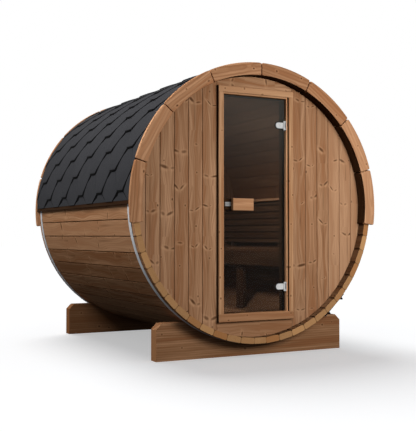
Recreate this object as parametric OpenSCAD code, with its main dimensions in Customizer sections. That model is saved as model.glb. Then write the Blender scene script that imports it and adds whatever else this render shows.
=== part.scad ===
// Barrel sauna: a stave barrel on two cradles, with end walls set in a croze,
// a glass door, a shingled half roof and a bench along the right-hand side.
// Millimetres. The barrel axis runs along Y, the door faces -Y, +Z is up,
// and the origin is on the ground under the middle of the barrel.

/* [Barrel] */
// Length over the trim rings
overall_len = 2180; // [1800:10:3000]
// Staves on each side, between the lowest one and the one at the crown
side_staves = 26; // [20:1:30]
// Width of the lowest stave, as a share of the others
lowest_share = 0.83; // [0.5:0.01:1]
// Width of the stave at the crown, as a share of the others
crown_share = 0.63; // [0.5:0.01:1]
// Distance from the barrel axis to the outer face of a stave
stave_reach = 1000; // [900:5:1100]
// Stave thickness
stave_t = 44; // [34:1:60]
// Open joint between two staves
stave_gap = 0.4; // [0.2:0.1:1]
// Chamfer along the outer arrises of a stave
stave_chamfer = 5; // [1:0.5:8]
// Chamfer along the inner arrises of a stave
stave_inner_chamfer = 4; // [1:0.5:6]
// Depth of the croze that the end walls are housed in
croze_depth = 10; // [6:1:16]

/* [Trim rings] */
// Thickness of the trim boards
trim_t = 26; // [18:1:40]
// How far the trim laps inside the staves
trim_lap = 18; // [8:1:30]
// How far the trim stands outside the staves
trim_stand = 30; // [28:1:45]
// Boards on each side of the crown
trim_boards = 4; // [3:1:6]
// Angle that each trim board covers
trim_angle = 24.5; // [20:0.1:26]
// Open joint between two trim boards
trim_gap = 4; // [2:0.5:6]
// Chamfer along the front arrises of the trim
trim_chamfer = 5; // [2:0.5:8]

/* [Cradles] */
// Width of a cradle
cradle_w = 1560; // [1400:10:1700]
// Height of a cradle
cradle_h = 262; // [220:1:320]
// Thickness of a cradle
cradle_t = 86; // [60:1:120]
// Set-back of a cradle from the end of the barrel
cradle_inset = 124; // [116:1:300]
// Clipped top corner of a cradle
cradle_clip = 42; // [20:1:60]
// Height of the lowest point of the saddle
saddle_h = 90; // [60:1:110]

/* [Steel bands] */
// Band width
band_w = 40; // [25:1:44]
// Band thickness
band_t = 2; // [1:0.5:3]
// Distance from the end of the barrel to the middle of the band
band_inset = 88; // [60:1:92]
// Place of the tensioner, from the lowest point up the right-hand side
tension_angle = 43; // [20:1:60]
// Distance between the two lugs of a tensioner
lug_spread = 152; // [100:1:200]
// Length of the tension rod
rod_len = 240; // [210:1:300]
// Radius of the tension rod
rod_r = 5; // [4:0.5:8]

/* [Roof] */
// Angle from the crown down to the lower edge of the shingles
roof_angle = 89.1; // [70:0.1:92]
// Roof board thickness
roof_board_t = 15.5; // [10:0.5:22]
// Roof boards on each side of the crown
roof_boards = 9; // [6:1:14]
// Shingle thickness
shingle_t = 4; // [2:0.5:6]
// Shingle courses on each side of the crown
shingle_courses = 11; // [8:1:14]
// Eave batten height
eave_h = 24; // [16:1:40]
// Eave batten thickness
eave_t = 18; // [12:1:24]

/* [End walls] */
// Wall thickness
wall_t = 42; // [30:1:56]
// Set-back of the wall face from the end of the barrel
wall_inset = 94; // [70:1:140]
// Width of a wall board
wall_board_w = 106; // [80:1:140]
// Width of the first board beside the door frame
wall_first_w = 124; // [60:1:150]
// Width of a wall board left of the door
wall_left_w = 110; // [80:1:140]
// Width of the first board on the left
wall_left_first_w = 118; // [60:1:150]
// Open joint between two wall boards
board_gap = 0.6; // [0.3:0.1:2]
// Chamfer along the face arrises of a wall board
board_chamfer = 4; // [1:0.5:8]

/* [Door frame] */
// Outer width of the door frame
frame_w = 638; // [580:1:760]
// Space between the top of the door frame and the crown of the barrel
frame_top_gap = 102; // [80:1:180]
// Space between the foot of the door frame and the lowest staves
frame_foot_gap = 116; // [90:1:180]
// Width of the casing on the jambs
casing_w = 41; // [30:1:60]
// Thickness of the casing
casing_t = 18; // [10:1:26]
// How far the lining stands inside the casing
lining_step = 10; // [6:1:16]
// Height of the casing on the head
head_h = 45; // [36:1:60]
// Height of the sill
sill_h = 58; // [40:1:80]
// How far the frame stands out from the wall
frame_proud = 24; // [10:1:40]
// Depth of the frame from front to back
frame_depth = 120; // [100:1:160]
// Chamfer along the front arrises of the frame
frame_chamfer = 3; // [1:0.5:6]

/* [Door] */
// Glass thickness
glass_t = 8; // [6:1:12]
// Clearance round the glass
glass_gap = 5; // [4:0.5:8]
// Set-back of the glass from the front of the frame
glass_inset = 38; // [34:1:50]
// Distance of each hinge above and below the barrel axis
hinge_offset = 600; // [300:5:700]
// Length of the glass clamp
clamp_len = 72; // [50:1:110]
// Height of the glass clamp
clamp_h = 43; // [30:1:60]
// Handle block width
handle_w = 174; // [120:1:220]
// Handle block height
handle_h = 87; // [60:1:120]
// Handle block thickness
handle_t = 28; // [18:1:36]
// Gap between the handle block and the glass
handle_stand = 28; // [22:1:40]

/* [Floor] */
// Height of the floor above the lowest staves
floor_rise = 110; // [90:1:160]
// Floor board thickness
floor_t = 28; // [20:1:36]
// Gap between two floor boards
floor_gap = 6; // [3:1:12]
// Number of floor boards
floor_boards_n = 7; // [3:2:7]
// Joist thickness
joist_t = 45; // [30:1:60]

/* [Bench] */
// Depth of the seat from front to back
bench_depth = 463; // [360:1:560]
// Height of the seat above the floor
seat_h = 524; // [420:1:600]
// Seat board thickness
seat_t = 28; // [20:1:36]
// Number of seat boards
seat_boards_n = 5; // [3:1:7]
// Gap between two seat boards
seat_gap = 6; // [3:1:12]
// Apron height
apron_h = 117; // [80:1:150]
// Width of the bench leg
leg_w = 116; // [80:1:140]
// Thickness of apron, leg, bearers and backrest posts
rail_t = 28; // [20:1:40]
// Backrest slat thickness
slat_t = 22; // [16:1:30]
// Height of the backrest above the seat
backrest_h = 434; // [380:1:520]
// Thickness of the backrest cap
cap_t = 20; // [14:1:32]
// Space between the cap and the top slat
cap_gap = 20; // [5:1:40]
// Clear space between seat and lowest slat
back_clear = 41; // [20:1:100]
// Slats under the cap
slats_n = 6; // [3:1:8]
// Gap between two slats
slat_gap = 6; // [4:1:20]

/* [Hidden] */
$fn = 120;

// Clearance between pieces that seat on a curve, and overrun of every cut
seat_clear = 0.3;
overrun = 20;

// Colours
stave_brown = [0.58, 0.42, 0.28];
trim_brown = [0.72, 0.53, 0.37];
wall_brown = [0.60, 0.44, 0.31];
frame_brown = [0.63, 0.46, 0.32];
cradle_brown = [0.52, 0.38, 0.27];
dark_brown = [0.30, 0.22, 0.17];
inside_brown = [0.50, 0.34, 0.22];
shingle_grey = [0.23, 0.23, 0.24];
band_grey = [0.62, 0.64, 0.66];
lug_black = [0.08, 0.08, 0.08];
steel_grey = [0.78, 0.78, 0.77];
glass_bronze = [0.25, 0.17, 0.12, 0.55];

// Barrel
half_len = overall_len / 2;
stave_count = 2 * side_staves + 2;
crown_stave = side_staves + 1;
stave_pitch = 360 / (2 * side_staves + lowest_share + crown_share);
stave_inner = stave_reach - stave_t;
stave_corner = stave_reach / cos(stave_pitch / 2);
stave_half_len = half_len - trim_t;
stave_groups = 8;
bottom_staves = 7;
first_stave = -(bottom_staves - 1) / 2;
saddle_r = stave_corner + seat_clear;
axis_z = saddle_h + saddle_r;

// Trim rings
trim_inner_r = stave_inner - trim_lap;
trim_outer_r = stave_reach + trim_stand;

// Bands and tensioners
band_r = stave_corner + seat_clear / 2;
band_y = half_len - band_inset;
lug_t = 10;
lug_angle = atan(lug_spread / 2 / band_r);
band_end_angle = lug_angle - atan(lug_t / 2 / band_r);
lug_h = 46;
lug_w = 30;
rod_lift = 28;
nut_r = 9;
nut_h = 8;

// Roof
roof_r = stave_corner + seat_clear;
roof_top_r = roof_r + roof_board_t;
shingle_r = roof_top_r + seat_clear;
roof_board_gap = 1;
shingle_gap = 0.6;
band_notch = band_t + seat_clear;

// End walls
wall_r = stave_inner + croze_depth - seat_clear;
croze_r = stave_inner + croze_depth;
wall_face = half_len - wall_inset;
frame_half = frame_w / 2;
frame_rise = stave_inner - frame_top_gap;
frame_drop = stave_inner - frame_foot_gap;

// Door frame and glass, in plan
frame_face = half_len - wall_inset + frame_proud;
frame_front = -frame_face;
frame_step = casing_t - frame_face;
frame_back = frame_depth - frame_face;
casing_half = frame_half - casing_w;
casing_top = frame_rise - head_h;
opening_half = casing_half - lining_step;
opening_top = casing_top - lining_step;
opening_bottom = frame_drop - sill_h;
glass_face = frame_face - glass_inset;
glass_back = glass_face - glass_t;
glass_half = opening_half - glass_gap;
stop_w = 12;
stop_ease = 2;
stop_gap = glass_gap + stop_ease;
stop_t = 14;

// Hinges
plate_t = 4;
plate_h = 68;
plate_w = 19;
knuckle_r = 7;
pin_r = 4;
pin_clear = 0.08;
knuckle_gap = 0.5;
clamp_t = 6;
hinge_x = opening_half - plate_t - knuckle_r - knuckle_gap;
hinge_y = glass_face + knuckle_r + seat_clear;

// Handle
handle_side = 52;
handle_lift = 2.5;
handle_chamfer = 5;
handle_base_t = 14;
handle_base_out = 48;
handle_inner_out = 30;
handle_neck_in = 26;
catch_w = 50;
catch_h = 32;
catch_edge = 2;
catch_lift = 4;
catch_groove = 3;

// Inside
inside_half = half_len - wall_inset - wall_t;
inside_r = stave_inner - seat_clear;
floor_drop = stave_inner - floor_rise;
floor_edge = 5;
floor_half = sqrt(pow(inside_r, 2) - pow(floor_drop + floor_t, 2)) - floor_edge;
floor_board_w = (2 * floor_half - floor_gap * (floor_boards_n - 1)) / floor_boards_n;
joists_n = 3;
joist_end = 160;
joist_short = 80;
seat_drop = floor_drop - seat_h;
seat_back = sqrt(pow(inside_r, 2) - pow(seat_drop + seat_t, 2)) - seat_gap;
bench_front = seat_back - bench_depth;
seat_w = (bench_depth - seat_gap * (seat_boards_n - 1)) / seat_boards_n;
bearer_h = 70;
bearer_t = 45;
bench_end = 3;
back_front = seat_back - slat_t - rail_t;
back_rise = backrest_h - seat_drop;
slat_low = seat_drop - back_clear;
slat_top = back_rise - cap_t - cap_gap;
slat_h = (slat_top + slat_low - slat_gap * (slats_n - 1)) / slats_n;
cap_out = 10;
back_post_w = 70;
back_post_end = 120;

// A flat outline in X and Z, carried along the barrel from one Y to another
module along_barrel(from_y, to_y) {
    translate([0, to_y, axis_z]) rotate([90, 0, 0]) linear_extrude(to_y - from_y) children();
}

// An outline in radius and Y, swept about the barrel axis; angles run from the crown to the right
module about_axis(from_a, to_a) {
    translate([0, 0, axis_z]) rotate(-120, [1, 1, 1]) rotate([0, 0, from_a])
        rotate_extrude(angle = to_a - from_a) children();
}

// A plain box between two corners, with Z measured from the barrel axis
module block(low, high) {
    translate([low.x, low.y, axis_z + low.z]) cube(high - low);
}

// A disc across the barrel
module disc(r, from_y, to_y) {
    along_barrel(from_y, to_y) circle(r);
}

// Cradles

// One cradle: a plank with clipped top corners and a saddle for the barrel
module cradle(end) {
    near = half_len - cradle_inset;
    low = saddle_h + saddle_r;
    half_w = cradle_w / 2;
    from_y = end < 0 ? -near : near - cradle_t;
    color(cradle_brown) difference() {
        along_barrel(from_y, from_y + cradle_t) polygon([
            [-half_w, -low], [half_w, -low],
            [half_w, cradle_h - cradle_clip - low], [half_w - cradle_clip, cradle_h - low],
            [cradle_clip - half_w, cradle_h - low], [-half_w, cradle_h - cradle_clip - low]
        ]);
        disc(saddle_r, from_y - overrun, from_y + cradle_t + overrun);
    }
}

// Barrel

// Width of a stave as a share of the common one; number 0 is the lowest, and they run right round
function stave_share(number) = number == 0 ? lowest_share : number == crown_stave ? crown_share : 1;

// Angle from the lowest stave to the middle of another
function stave_turn(number) =
    number == 0 ? 0
    : number == crown_stave ? 180
    : number < 0 ? -stave_turn(-number)
    : number > crown_stave ? 360 - stave_turn(stave_count - number)
    : (number + (lowest_share - 1) / 2) * stave_pitch;

// Half width of a stave at a distance from the barrel axis
function stave_half(number, r) = r * tan(stave_share(number) * stave_pitch / 2) - stave_gap / 2;

module stave(number) {
    inner_half = stave_half(number, stave_inner) - stave_inner_chamfer;
    low_half = stave_half(number, stave_inner + stave_inner_chamfer);
    high_half = stave_half(number, stave_reach - stave_chamfer);
    outer_half = stave_half(number, stave_reach) - stave_chamfer;
    translate([0, 0, axis_z]) rotate([0, 180 + stave_turn(number), 0]) translate([0, 0, -axis_z])
        along_barrel(-stave_half_len, stave_half_len) polygon([
            [-inner_half, stave_inner], [inner_half, stave_inner],
            [low_half, stave_inner + stave_inner_chamfer], [high_half, stave_reach - stave_chamfer],
            [outer_half, stave_reach], [-outer_half, stave_reach],
            [-high_half, stave_reach - stave_chamfer], [-low_half, stave_inner + stave_inner_chamfer]
        ]);
}

// One eighth of the staves, each cut by the two crozes; group 0 lies at the bottom
module staves(group) {
    from_i = first_stave + round(stave_count * group / stave_groups);
    to_i = first_stave + round(stave_count * (group + 1) / stave_groups) - 1;
    color(stave_brown) difference() {
        for (i = [from_i : to_i]) stave(i);
        for (end = [-1, 1]) {
            mid = end * (wall_face - wall_t / 2);
            disc(croze_r, mid - wall_t / 2 - seat_clear, mid + wall_t / 2 + seat_clear);
        }
    }
}

// One side of a trim ring: curved boards with open joints, screwed to the stave ends
module trim(end, side) {
    face = end * half_len;
    back = end * stave_half_len;
    eased = face - end * trim_chamfer;
    gap_a = trim_gap / trim_outer_r * 90 / PI;
    color(trim_brown) for (i = [0 : trim_boards - 1]) {
        low_a = side < 0 ? -(i + 1) * trim_angle : i * trim_angle;
        about_axis(low_a + gap_a, low_a + trim_angle - gap_a) polygon([
            [trim_inner_r, back], [trim_outer_r, back],
            [trim_outer_r, eased], [trim_outer_r - trim_chamfer, face],
            [trim_inner_r + trim_chamfer, face], [trim_inner_r, eased]
        ]);
    }
}

// Steel bands

// A band that runs round the staves from lug to lug
module band(end) {
    start = 180 - tension_angle + band_end_angle;
    color(band_grey) about_axis(start, start + 360 - 2 * band_end_angle)
        translate([band_r, end * band_y - band_w / 2]) square([band_t, band_w]);
}

// The lugs on the two band ends, with the threaded rod and its nuts
module tensioner(end) {
    rod_r_out = band_r + band_t + rod_lift;
    lug_out = (rod_r_out + nut_r) * tan(lug_angle) + lug_t / 2 / cos(lug_angle);
    nut_x = lug_out + nut_h / 2 + seat_clear;
    translate([0, end * band_y, axis_z]) rotate([0, 180 - tension_angle, 0]) {
        color(lug_black) difference() {
            for (s = [-1, 1]) rotate([0, s * lug_angle, 0])
                translate([-lug_t / 2, -lug_w / 2, band_r + band_t + seat_clear])
                    cube([lug_t, lug_w, lug_h]);
            translate([0, 0, rod_r_out]) rotate([0, 90, 0])
                cylinder(r = rod_r + seat_clear, h = rod_len, center = true);
        }
        color(band_grey) translate([0, 0, rod_r_out]) rotate([0, 90, 0])
            cylinder(r = rod_r, h = rod_len, center = true);
        color(lug_black) for (s = [-1, 1]) translate([s * nut_x, 0, rod_r_out])
            rotate([0, 90, 0]) difference() {
                cylinder(r = nut_r, h = nut_h, center = true, $fn = 6);
                cylinder(r = rod_r + seat_clear, h = nut_h + overrun, center = true);
            }
    }
}

// Roof

// Thin boards laid along the barrel, notched over the bands
module roof_boards_side(side) {
    gap_a = roof_board_gap / roof_r * 90 / PI;
    step = roof_angle / roof_boards;
    color(dark_brown) difference() {
        for (i = [0 : roof_boards - 1]) {
            low_a = side < 0 ? -(i + 1) * step : i * step;
            about_axis(low_a + gap_a, low_a + step - gap_a)
                translate([roof_r, -stave_half_len]) square([roof_board_t, 2 * stave_half_len]);
        }
        for (end = [-1, 1])
            translate([0, end * band_y, axis_z]) rotate([90, 0, 0])
                cylinder(r = band_r + band_notch, h = band_w + 2 * seat_clear, center = true);
    }
}

// Courses of shingles, each a strip along the barrel
module shingles(side) {
    gap_a = shingle_gap / shingle_r * 90 / PI;
    step = roof_angle / shingle_courses;
    color(shingle_grey) for (i = [0 : shingle_courses - 1]) {
        low_a = side < 0 ? -(i + 1) * step : i * step;
        about_axis(low_a + gap_a, low_a + step - gap_a)
            translate([shingle_r, -stave_half_len]) square([shingle_t, 2 * stave_half_len]);
    }
}

// The batten that carries the lower edge of the roof, notched over the bands
module eave_batten(side) {
    top = roof_r * cos(roof_angle) - seat_clear;
    near = side < 0 ? -roof_r - eave_t : roof_r;
    color(dark_brown) difference() {
        block([near, -stave_half_len, top - eave_h], [near + eave_t, stave_half_len, top]);
        for (end = [-1, 1])
            translate([0, end * band_y, axis_z]) rotate([90, 0, 0])
                cylinder(r = band_r + band_notch, h = band_w + 2 * seat_clear, center = true);
    }
}

// End walls

// One vertical board between two X places, with chamfered face arrises
module wall_board(end, from_x, to_x) {
    low_x = from_x + board_gap / 2;
    high_x = to_x - board_gap / 2;
    face = end * wall_face;
    eased = face - end * board_chamfer;
    back = face - end * wall_t;
    translate([0, 0, axis_z - wall_r]) linear_extrude(2 * wall_r) polygon([
        [low_x, back], [high_x, back], [high_x, eased], [high_x - board_chamfer, face],
        [low_x + board_chamfer, face], [low_x, eased]
    ]);
}

// The round outline that the boards of an end wall are cut to
module wall_round(end) {
    mid = end * (wall_face - wall_t / 2);
    disc(wall_r, mid - wall_t / 2 - overrun, mid + wall_t / 2 + overrun);
}

// The boards on one side of the door frame
module front_wall_side(side) {
    board_w = side < 0 ? wall_left_w : wall_board_w;
    first_x = frame_half + (side < 0 ? wall_left_first_w : wall_first_w);
    more = ceil((wall_r - first_x) / board_w);
    color(wall_brown) intersection() {
        mirror([side < 0 ? 1 : 0, 0, 0]) {
            wall_board(-1, frame_half, first_x);
            for (i = [0 : more - 1])
                wall_board(-1, first_x + i * board_w, first_x + (i + 1) * board_w);
        }
        wall_round(-1);
    }
}

// The panel between the side boards, over or under the door frame
module front_wall_panel(low_z, high_z) {
    half_w = frame_half - board_gap / 2;
    color(wall_brown) intersection() {
        block([-half_w, -wall_face, low_z], [half_w, wall_t - wall_face, high_z]);
        wall_round(-1);
    }
}

module front_wall_head() front_wall_panel(frame_rise + seat_clear, wall_r);

module front_wall_sill() front_wall_panel(-wall_r, -frame_drop - seat_clear);

// Vertical boards right across the back
module back_wall() {
    half_n = ceil(wall_r / wall_board_w - 1 / 2);
    color(wall_brown) intersection() {
        for (i = [-half_n : half_n])
            wall_board(1, (i - 1 / 2) * wall_board_w, (i + 1 / 2) * wall_board_w);
        wall_round(1);
    }
}

// Door frame

// One jamb: a casing with eased arrises between the rails, and a deeper lining of full height
module door_jamb(side) {
    outer = frame_half - seat_clear;
    cut_y = frame_step + seat_clear;
    color(frame_brown) mirror([side < 0 ? 1 : 0, 0, 0]) difference() {
        translate([0, 0, axis_z - frame_drop]) linear_extrude(frame_rise + frame_drop) polygon([
            [casing_half, frame_front + frame_chamfer], [casing_half + frame_chamfer, frame_front],
            [outer - frame_chamfer, frame_front], [outer, frame_front + frame_chamfer],
            [outer, frame_back], [opening_half, frame_back],
            [opening_half, frame_step], [casing_half, frame_step]
        ]);
        block([0, -half_len, casing_top - seat_clear], [frame_w, cut_y, frame_w + frame_rise]);
        block([0, -half_len, -frame_w - frame_drop], [frame_w, cut_y, seat_clear - opening_bottom]);
    }
}

// An outline in Y and Z, carried across the doorway
module across(half_w) {
    translate([-half_w, 0, axis_z]) rotate([90, 0, 90]) linear_extrude(2 * half_w) children();
}

// A rail over or under the jambs: a casing with eased arrises, and a lining between their linings
module frame_rail(low_z, high_z, lining_z) {
    mid_y = (frame_front + frame_step) / 2;
    color(frame_brown) {
        across(frame_half - seat_clear) polygon([
            [frame_front + frame_chamfer, low_z], [frame_step, low_z],
            [frame_step, high_z], [frame_front + frame_chamfer, high_z],
            [frame_front, high_z - frame_chamfer], [frame_front, low_z + frame_chamfer]
        ]);
        across(opening_half - seat_clear) polygon([
            [frame_step, lining_z], [frame_back, lining_z], [frame_back, high_z],
            [mid_y, high_z], [mid_y, low_z], [frame_step, low_z]
        ]);
    }
}

module door_head() frame_rail(casing_top, frame_rise, opening_top);

module door_sill() frame_rail(-frame_drop, -opening_bottom, -frame_drop);

// Strips behind the glass that the door closes against
module door_stops() {
    from_y = -glass_back + stop_gap;
    to_y = from_y + stop_t;
    edge = opening_half - seat_clear;
    inner = opening_half - stop_w;
    color(frame_brown) {
        for (s = [0, 1]) mirror([s, 0, 0])
            block([inner, from_y, -opening_bottom + seat_clear], [edge, to_y, opening_top - seat_clear]);
        block([-inner + seat_clear, from_y, opening_top - stop_w],
              [inner - seat_clear, to_y, opening_top - seat_clear]);
    }
}

// Hinges

// Plates on the right-hand jamb, each with two knuckles and a pin
module hinge_plates() {
    knuckle_h = (plate_h - clamp_h) / 2 - knuckle_gap;
    color(steel_grey) for (s = [-1, 1]) {
        mid = s * hinge_offset;
        plate_x = opening_half - plate_t;
        block([plate_x, -hinge_y - plate_w + knuckle_r, mid - plate_h / 2],
              [opening_half, -hinge_y + knuckle_r, mid + plate_h / 2]);
        for (k = [-1, 1]) translate([hinge_x, -hinge_y, axis_z + mid + k * (plate_h - knuckle_h) / 2]) {
            cylinder(r = knuckle_r, h = knuckle_h, center = true);
            translate([0, -knuckle_r, -knuckle_h / 2])
                cube([plate_x - hinge_x + plate_t / 2, 2 * knuckle_r, knuckle_h]);
        }
        translate([hinge_x, -hinge_y, axis_z + mid]) cylinder(r = pin_r, h = plate_h, center = true);
    }
}

// A plate with one round end, lying on the glass; X runs from the hinge to the round end
module clamp_plate(from_x, to_x, from_y, to_y, mid) {
    round_r = clamp_h / 2;
    along_barrel(from_y, to_y) translate([0, mid]) {
        translate([to_x + round_r, 0]) circle(round_r);
        translate([to_x + round_r, -round_r]) square([from_x - to_x - round_r, clamp_h]);
    }
}

// Clamps on the glass: a front plate with the middle knuckle, and a back plate
module hinge_clamps() {
    to_x = hinge_x - clamp_len;
    color(steel_grey) for (s = [-1, 1]) {
        mid = s * hinge_offset;
        difference() {
            union() {
                clamp_plate(hinge_x, to_x, -glass_face - seat_clear - clamp_t,
                            -glass_face - seat_clear, mid);
                translate([hinge_x, -hinge_y, axis_z + mid])
                    cylinder(r = knuckle_r, h = clamp_h, center = true);
            }
            translate([hinge_x, -hinge_y, axis_z + mid])
                cylinder(r = pin_r + pin_clear, h = clamp_h + overrun, center = true);
        }
        clamp_plate(glass_half - stop_w - glass_gap, to_x, -glass_back + seat_clear,
                    -glass_back + seat_clear + clamp_t, mid);
    }
}

// Door

module door_glass() {
    color(glass_bronze) block(
        [-glass_half, -glass_face, glass_gap - opening_bottom],
        [glass_half, -glass_back, opening_top - glass_gap]);
}

// A handle: a base on the glass, a neck and a grip with eased arrises; out is the way it stands off,
// and base_out is how far the base runs on towards the free edge of the glass
module handle(glass_y, out, base_out) {
    low_x = handle_side - glass_half;
    high_x = low_x + handle_w;
    low_z = handle_lift - handle_h / 2;
    high_z = low_z + handle_h;
    base_y = glass_y + out * handle_base_t;
    back_y = glass_y + out * handle_stand;
    face_y = back_y + out * handle_t;
    eased_y = face_y - out * handle_chamfer;
    base_mid = (glass_y + base_y) / 2;
    grip_mid = (back_y + face_y) / 2;
    translate([0, 0, axis_z + low_z]) linear_extrude(handle_h) polygon([
        [low_x, back_y], [high_x, back_y],
        [high_x, eased_y], [high_x - handle_chamfer, face_y],
        [low_x + handle_chamfer, face_y], [low_x, eased_y]
    ]);
    block([low_x - base_out, min(glass_y, base_y), low_z + handle_chamfer],
          [high_x - handle_neck_in, max(glass_y, base_y), high_z - handle_chamfer]);
    block([low_x + handle_chamfer, min(base_mid, grip_mid), low_z + handle_chamfer],
          [high_x - handle_neck_in, max(base_mid, grip_mid), high_z - handle_chamfer]);
}

module handle_outside() color(frame_brown) handle(-glass_face - seat_clear, -1, handle_base_out);

module handle_inside() color(frame_brown) handle(-glass_back + seat_clear, 1, handle_inner_out);

// The steel catch on the handle's base, at the free edge of the glass, with a groove along its face
module handle_catch() {
    low_x = catch_edge - glass_half;
    back_y = -glass_face - 2 * seat_clear - handle_base_t;
    front_y = -glass_face - handle_stand;
    low_z = catch_lift - catch_h / 2;
    mid_z = catch_lift;
    color(steel_grey) translate([low_x, 0, axis_z]) rotate([90, 0, 90]) linear_extrude(catch_w) polygon([
        [back_y, low_z], [back_y, low_z + catch_h],
        [front_y + catch_groove, low_z + catch_h], [front_y, low_z + catch_h - catch_groove],
        [front_y, mid_z + catch_groove], [front_y + catch_groove, mid_z],
        [front_y, mid_z - catch_groove], [front_y, low_z + catch_groove], [front_y + catch_groove, low_z]
    ]);
}

// Floor

module floor_boards() {
    step = floor_board_w + floor_gap;
    first = -(floor_boards_n - 1) / 2 * step;
    end_y = inside_half - seat_clear;
    color(inside_brown) for (i = [0 : floor_boards_n - 1])
        block([first + i * step - floor_board_w / 2, -end_y, -floor_drop - floor_t],
              [first + i * step + floor_board_w / 2, end_y, -floor_drop]);
}

// Joists cut to the curve of the barrel
module floor_joists() {
    span = 2 * (inside_half - joist_end);
    joist_half = floor_half - joist_short;
    color(inside_brown) for (i = [0 : joists_n - 1]) {
        mid = -span / 2 + i * span / (joists_n - 1);
        intersection() {
            block([-joist_half, mid - joist_t / 2, -inside_r],
                  [joist_half, mid + joist_t / 2, -floor_drop - floor_t]);
            disc(inside_r, mid - joist_t, mid + joist_t);
        }
    }
}

// Bench

module bench_seat() {
    end_y = inside_half - bench_end;
    color(inside_brown) for (i = [0 : seat_boards_n - 1]) {
        low_x = bench_front + i * (seat_w + seat_gap);
        block([low_x, -end_y, -seat_drop - seat_t], [low_x + seat_w, end_y, -seat_drop]);
    }
}

module bench_apron() {
    end_y = inside_half - bench_end;
    color(inside_brown) block([bench_front, -end_y, -seat_drop - seat_t - apron_h],
                              [bench_front + rail_t, end_y, -seat_drop - seat_t]);
}

// The leg stands behind the apron, with its foot cut to the curve of the barrel
module bench_leg() {
    leg_x = bench_front + rail_t;
    color(inside_brown) intersection() {
        block([leg_x, -leg_w / 2, -inside_r], [leg_x + rail_t, leg_w / 2, -seat_drop - seat_t]);
        disc(inside_r, -leg_w, leg_w);
    }
}

// Bearers under the seat: one on each end wall and one behind the leg
module bench_bearers() {
    low_x = bench_front + 2 * rail_t;
    end_y = inside_half - seat_clear;
    top = -seat_drop - seat_t;
    color(inside_brown) intersection() {
        for (mid = [bearer_t / 2 - end_y, 0, end_y - bearer_t / 2])
            block([low_x, mid - bearer_t / 2, top - bearer_h], [inside_r, mid + bearer_t / 2, top]);
        disc(inside_r, -half_len, half_len);
    }
}

module backrest_slats() {
    end_y = inside_half - bench_end;
    color(inside_brown) for (i = [0 : slats_n - 1]) {
        low_z = i * (slat_h + slat_gap) - slat_low;
        block([back_front, -end_y, low_z], [back_front + slat_t, end_y, low_z + slat_h]);
    }
}

// The cap over the slats, cut to the curve of the barrel
module backrest_cap() {
    end_y = inside_half - bench_end;
    color(inside_brown) intersection() {
        block([back_front - cap_out, -end_y, back_rise - cap_t], [inside_r, end_y, back_rise]);
        disc(inside_r, -half_len, half_len);
    }
}

// Posts behind the slats, standing on the seat and cut to the curve of the barrel
module backrest_posts() {
    end_y = inside_half - back_post_end;
    color(inside_brown) intersection() {
        for (mid = [-end_y, 0, end_y])
            block([back_front + slat_t, mid - back_post_w / 2, -seat_drop],
                  [back_front + slat_t + rail_t, mid + back_post_w / 2, back_rise - cap_t]);
        disc(inside_r, -half_len, half_len);
    }
}

cradle(-1);  // cradle_front
cradle(1);  // cradle_back
staves(0);  // staves_bottom
staves(1);  // staves_lower_left
staves(2);  // staves_left
staves(3);  // staves_upper_left
staves(4);  // staves_top
staves(5);  // staves_upper_right
staves(6);  // staves_right
staves(7);  // staves_lower_right
trim(-1, -1);  // trim_front_left
trim(-1, 1);  // trim_front_right
trim(1, -1);  // trim_back_left
trim(1, 1);  // trim_back_right
band(-1);  // band_front
band(1);  // band_back
tensioner(-1);  // tensioner_front
tensioner(1);  // tensioner_back
roof_boards_side(-1);  // roof_boards_left
roof_boards_side(1);  // roof_boards_right
shingles(-1);  // shingles_left
shingles(1);  // shingles_right
eave_batten(-1);  // eave_batten_left
eave_batten(1);  // eave_batten_right
front_wall_side(-1);  // front_wall_left
front_wall_side(1);  // front_wall_right
front_wall_head();
front_wall_sill();
back_wall();
door_jamb(-1);  // door_jamb_left
door_jamb(1);  // door_jamb_right
door_head();
door_sill();
door_stops();
hinge_plates();
floor_boards();
floor_joists();
bench_seat();
bench_apron();
bench_leg();
bench_bearers();
backrest_slats();
backrest_cap();
backrest_posts();
door_glass();
hinge_clamps();
handle_outside();
handle_inside();
handle_catch();
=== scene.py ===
"""The looks of the barrel sauna: its woods, steel, glass and shingles, and a studio round it.

It is laid out as an add-on. Sizes and colours that a user would change are properties, each group of
pieces has its own operator, and main() runs them in order. Lengths are metres, in the part's own frame:
the barrel axis runs along Y, the door faces -Y and +Z is up.
"""

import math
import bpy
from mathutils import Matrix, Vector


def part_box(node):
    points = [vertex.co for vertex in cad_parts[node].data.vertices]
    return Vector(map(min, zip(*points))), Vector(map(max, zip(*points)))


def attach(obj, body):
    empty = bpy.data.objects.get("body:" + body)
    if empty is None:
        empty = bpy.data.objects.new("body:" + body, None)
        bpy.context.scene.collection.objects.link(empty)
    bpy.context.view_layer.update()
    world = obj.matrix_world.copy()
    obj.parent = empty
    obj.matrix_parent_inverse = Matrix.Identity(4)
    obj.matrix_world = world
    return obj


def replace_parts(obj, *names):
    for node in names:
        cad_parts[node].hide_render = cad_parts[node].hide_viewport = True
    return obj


bl_info = {
    "name": "Barrel sauna",
    "version": (1, 0, 0),
    "blender": (4, 5, 0),
    "location": "View3D > Sidebar > Sauna",
    "description": "Dresses the barrel sauna with wood, shingles, steel and glass, and sets up its studio",
    "category": "Object",
}

import bpy
import numpy as np
from bpy.props import FloatProperty, FloatVectorProperty, IntProperty, PointerProperty
from mathutils import Vector

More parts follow.
